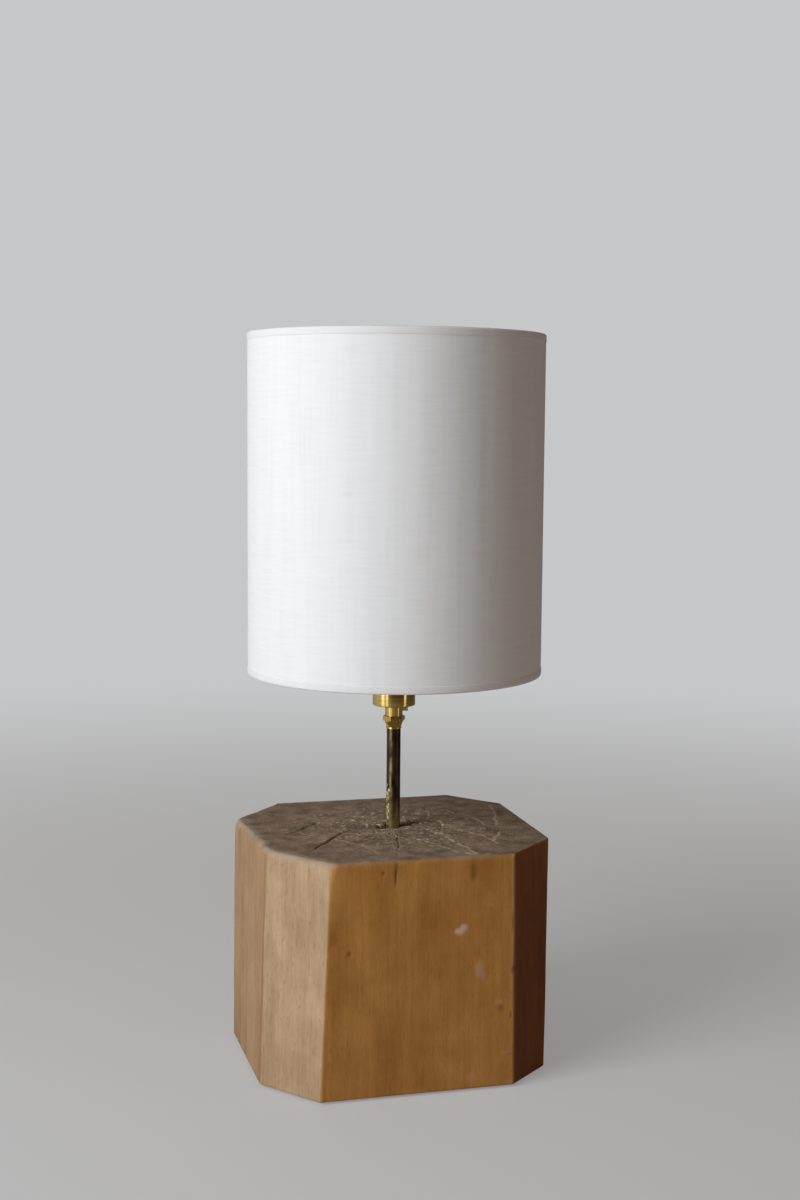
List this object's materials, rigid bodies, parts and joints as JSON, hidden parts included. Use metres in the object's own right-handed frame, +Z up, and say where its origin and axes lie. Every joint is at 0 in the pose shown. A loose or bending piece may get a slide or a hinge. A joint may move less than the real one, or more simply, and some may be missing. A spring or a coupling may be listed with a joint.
{
  "type": "column table lamp",
  "caption": "Table lamp with an eight-sided old wooden block, a slim brass column, a bayonet lampholder and a tall linen drum shade.",
  "frame": {"origin": "on the tube's axis, on the surface that the felt stands on", "axes": "+Z up along the tube; -Y is the block's front face; +Y is the back, where the flex enters"},
  "size_m": [0.2556, 0.25, 0.6188],
  "materials": {
    "waxed_hardwood": "old honey-coloured hardwood, planed and waxed sides, bare grey end grain",
    "felt": "dark wool felt",
    "aged_brass": "dark patinated brass, worn bright in places",
    "brass": "dull turned brass",
    "bright_brass": "polished turned brass",
    "steel": "turned steel",
    "zinc_steel": "zinc plated steel",
    "spring_steel": "drawn spring wire",
    "phenolic": "moulded phenolic",
    "bush_plastic": "moulded nylon",
    "white_enamel": "white coated wire",
    "linen": "plain woven linen",
    "shade_film": "white shade film",
    "pearl_glass": "pearl glass",
    "clear_glass": "clear glass",
    "cap_metal": "drawn cap metal",
    "black_glass": "black glassy insulator",
    "solder": "solder pads",
    "tungsten": "drawn wire"
  },
  "bodies": {
    "base": {"wood_block": "waxed_hardwood", "base_felt": "felt", "base_washer": "zinc_steel", "base_tooth_washer": "spring_steel", "base_nut": "brass", "flex_entry_bush": "bush_plastic", "threaded_rod": "zinc_steel", "sleeve_tube": "aged_brass", "hex_ferrule": "bright_brass", "holder_cap": "bright_brass", "cap_lock_screw": "steel", "earth_terminal": "brass", "earth_screw": "steel", "holder_insert": "phenolic", "terminal_post_front": "brass", "terminal_post_back": "brass", "terminal_screw_front": "steel", "terminal_screw_back": "steel", "plunger_spring_front": "spring_steel", "plunger_spring_back": "spring_steel", "holder_skirt": "brass", "shade_ring_lower": "brass"},
    "shade": {"shade_fitter_ring": "white_enamel", "shade_spider_arms": "white_enamel", "shade_bottom_wire": "white_enamel", "shade_top_wire": "white_enamel", "shade_liner": "shade_film", "shade_fabric": "linen"},
    "clamp_ring": {"shade_ring_upper": "brass"},
    "bulb": {"bulb_cap": "cap_metal", "bulb_insulator": "black_glass", "bulb_contacts": "solder", "bulb_glass": "pearl_glass", "bulb_stem": "clear_glass", "bulb_filament": "tungsten", "bulb_lead_wires": "tungsten"},
    "contact_front": {"plunger_front": "brass"},
    "contact_back": {"plunger_back": "brass"}
  },
  "joints": [
    {"name": "shade_turn", "type": "hinge", "parent": "base", "child": "shade", "pos_m": [0, 0, 0.34275], "axis": [0, 0, 1], "continuous": true},
    {"name": "clamp_ring_turn", "type": "hinge", "parent": "base", "child": "clamp_ring", "pos_m": [0, 0, 0.3458], "axis": [0, 0, 1], "continuous": true},
    {"name": "bulb_push", "type": "slide", "parent": "base", "child": "bulb", "axis": [0, 0, 1], "range_m": [-0.003, 0], "stiffness_N_per_m": 2500, "springref_m": 0.003},
    {"name": "plunger_front_travel", "type": "slide", "parent": "base", "child": "contact_front", "axis": [0, 0, 1], "range_m": [-0.003, 0], "deforming": ["plunger_spring_front"]},
    {"name": "plunger_back_travel", "type": "slide", "parent": "base", "child": "contact_back", "axis": [0, 0, 1], "range_m": [-0.003, 0], "deforming": ["plunger_spring_back"]}
  ],
  "couplings": [
    {"joint": "plunger_front_travel", "follows": "bulb_push", "ratio": 1},
    {"joint": "plunger_back_travel", "follows": "bulb_push", "ratio": 1}
  ]
}
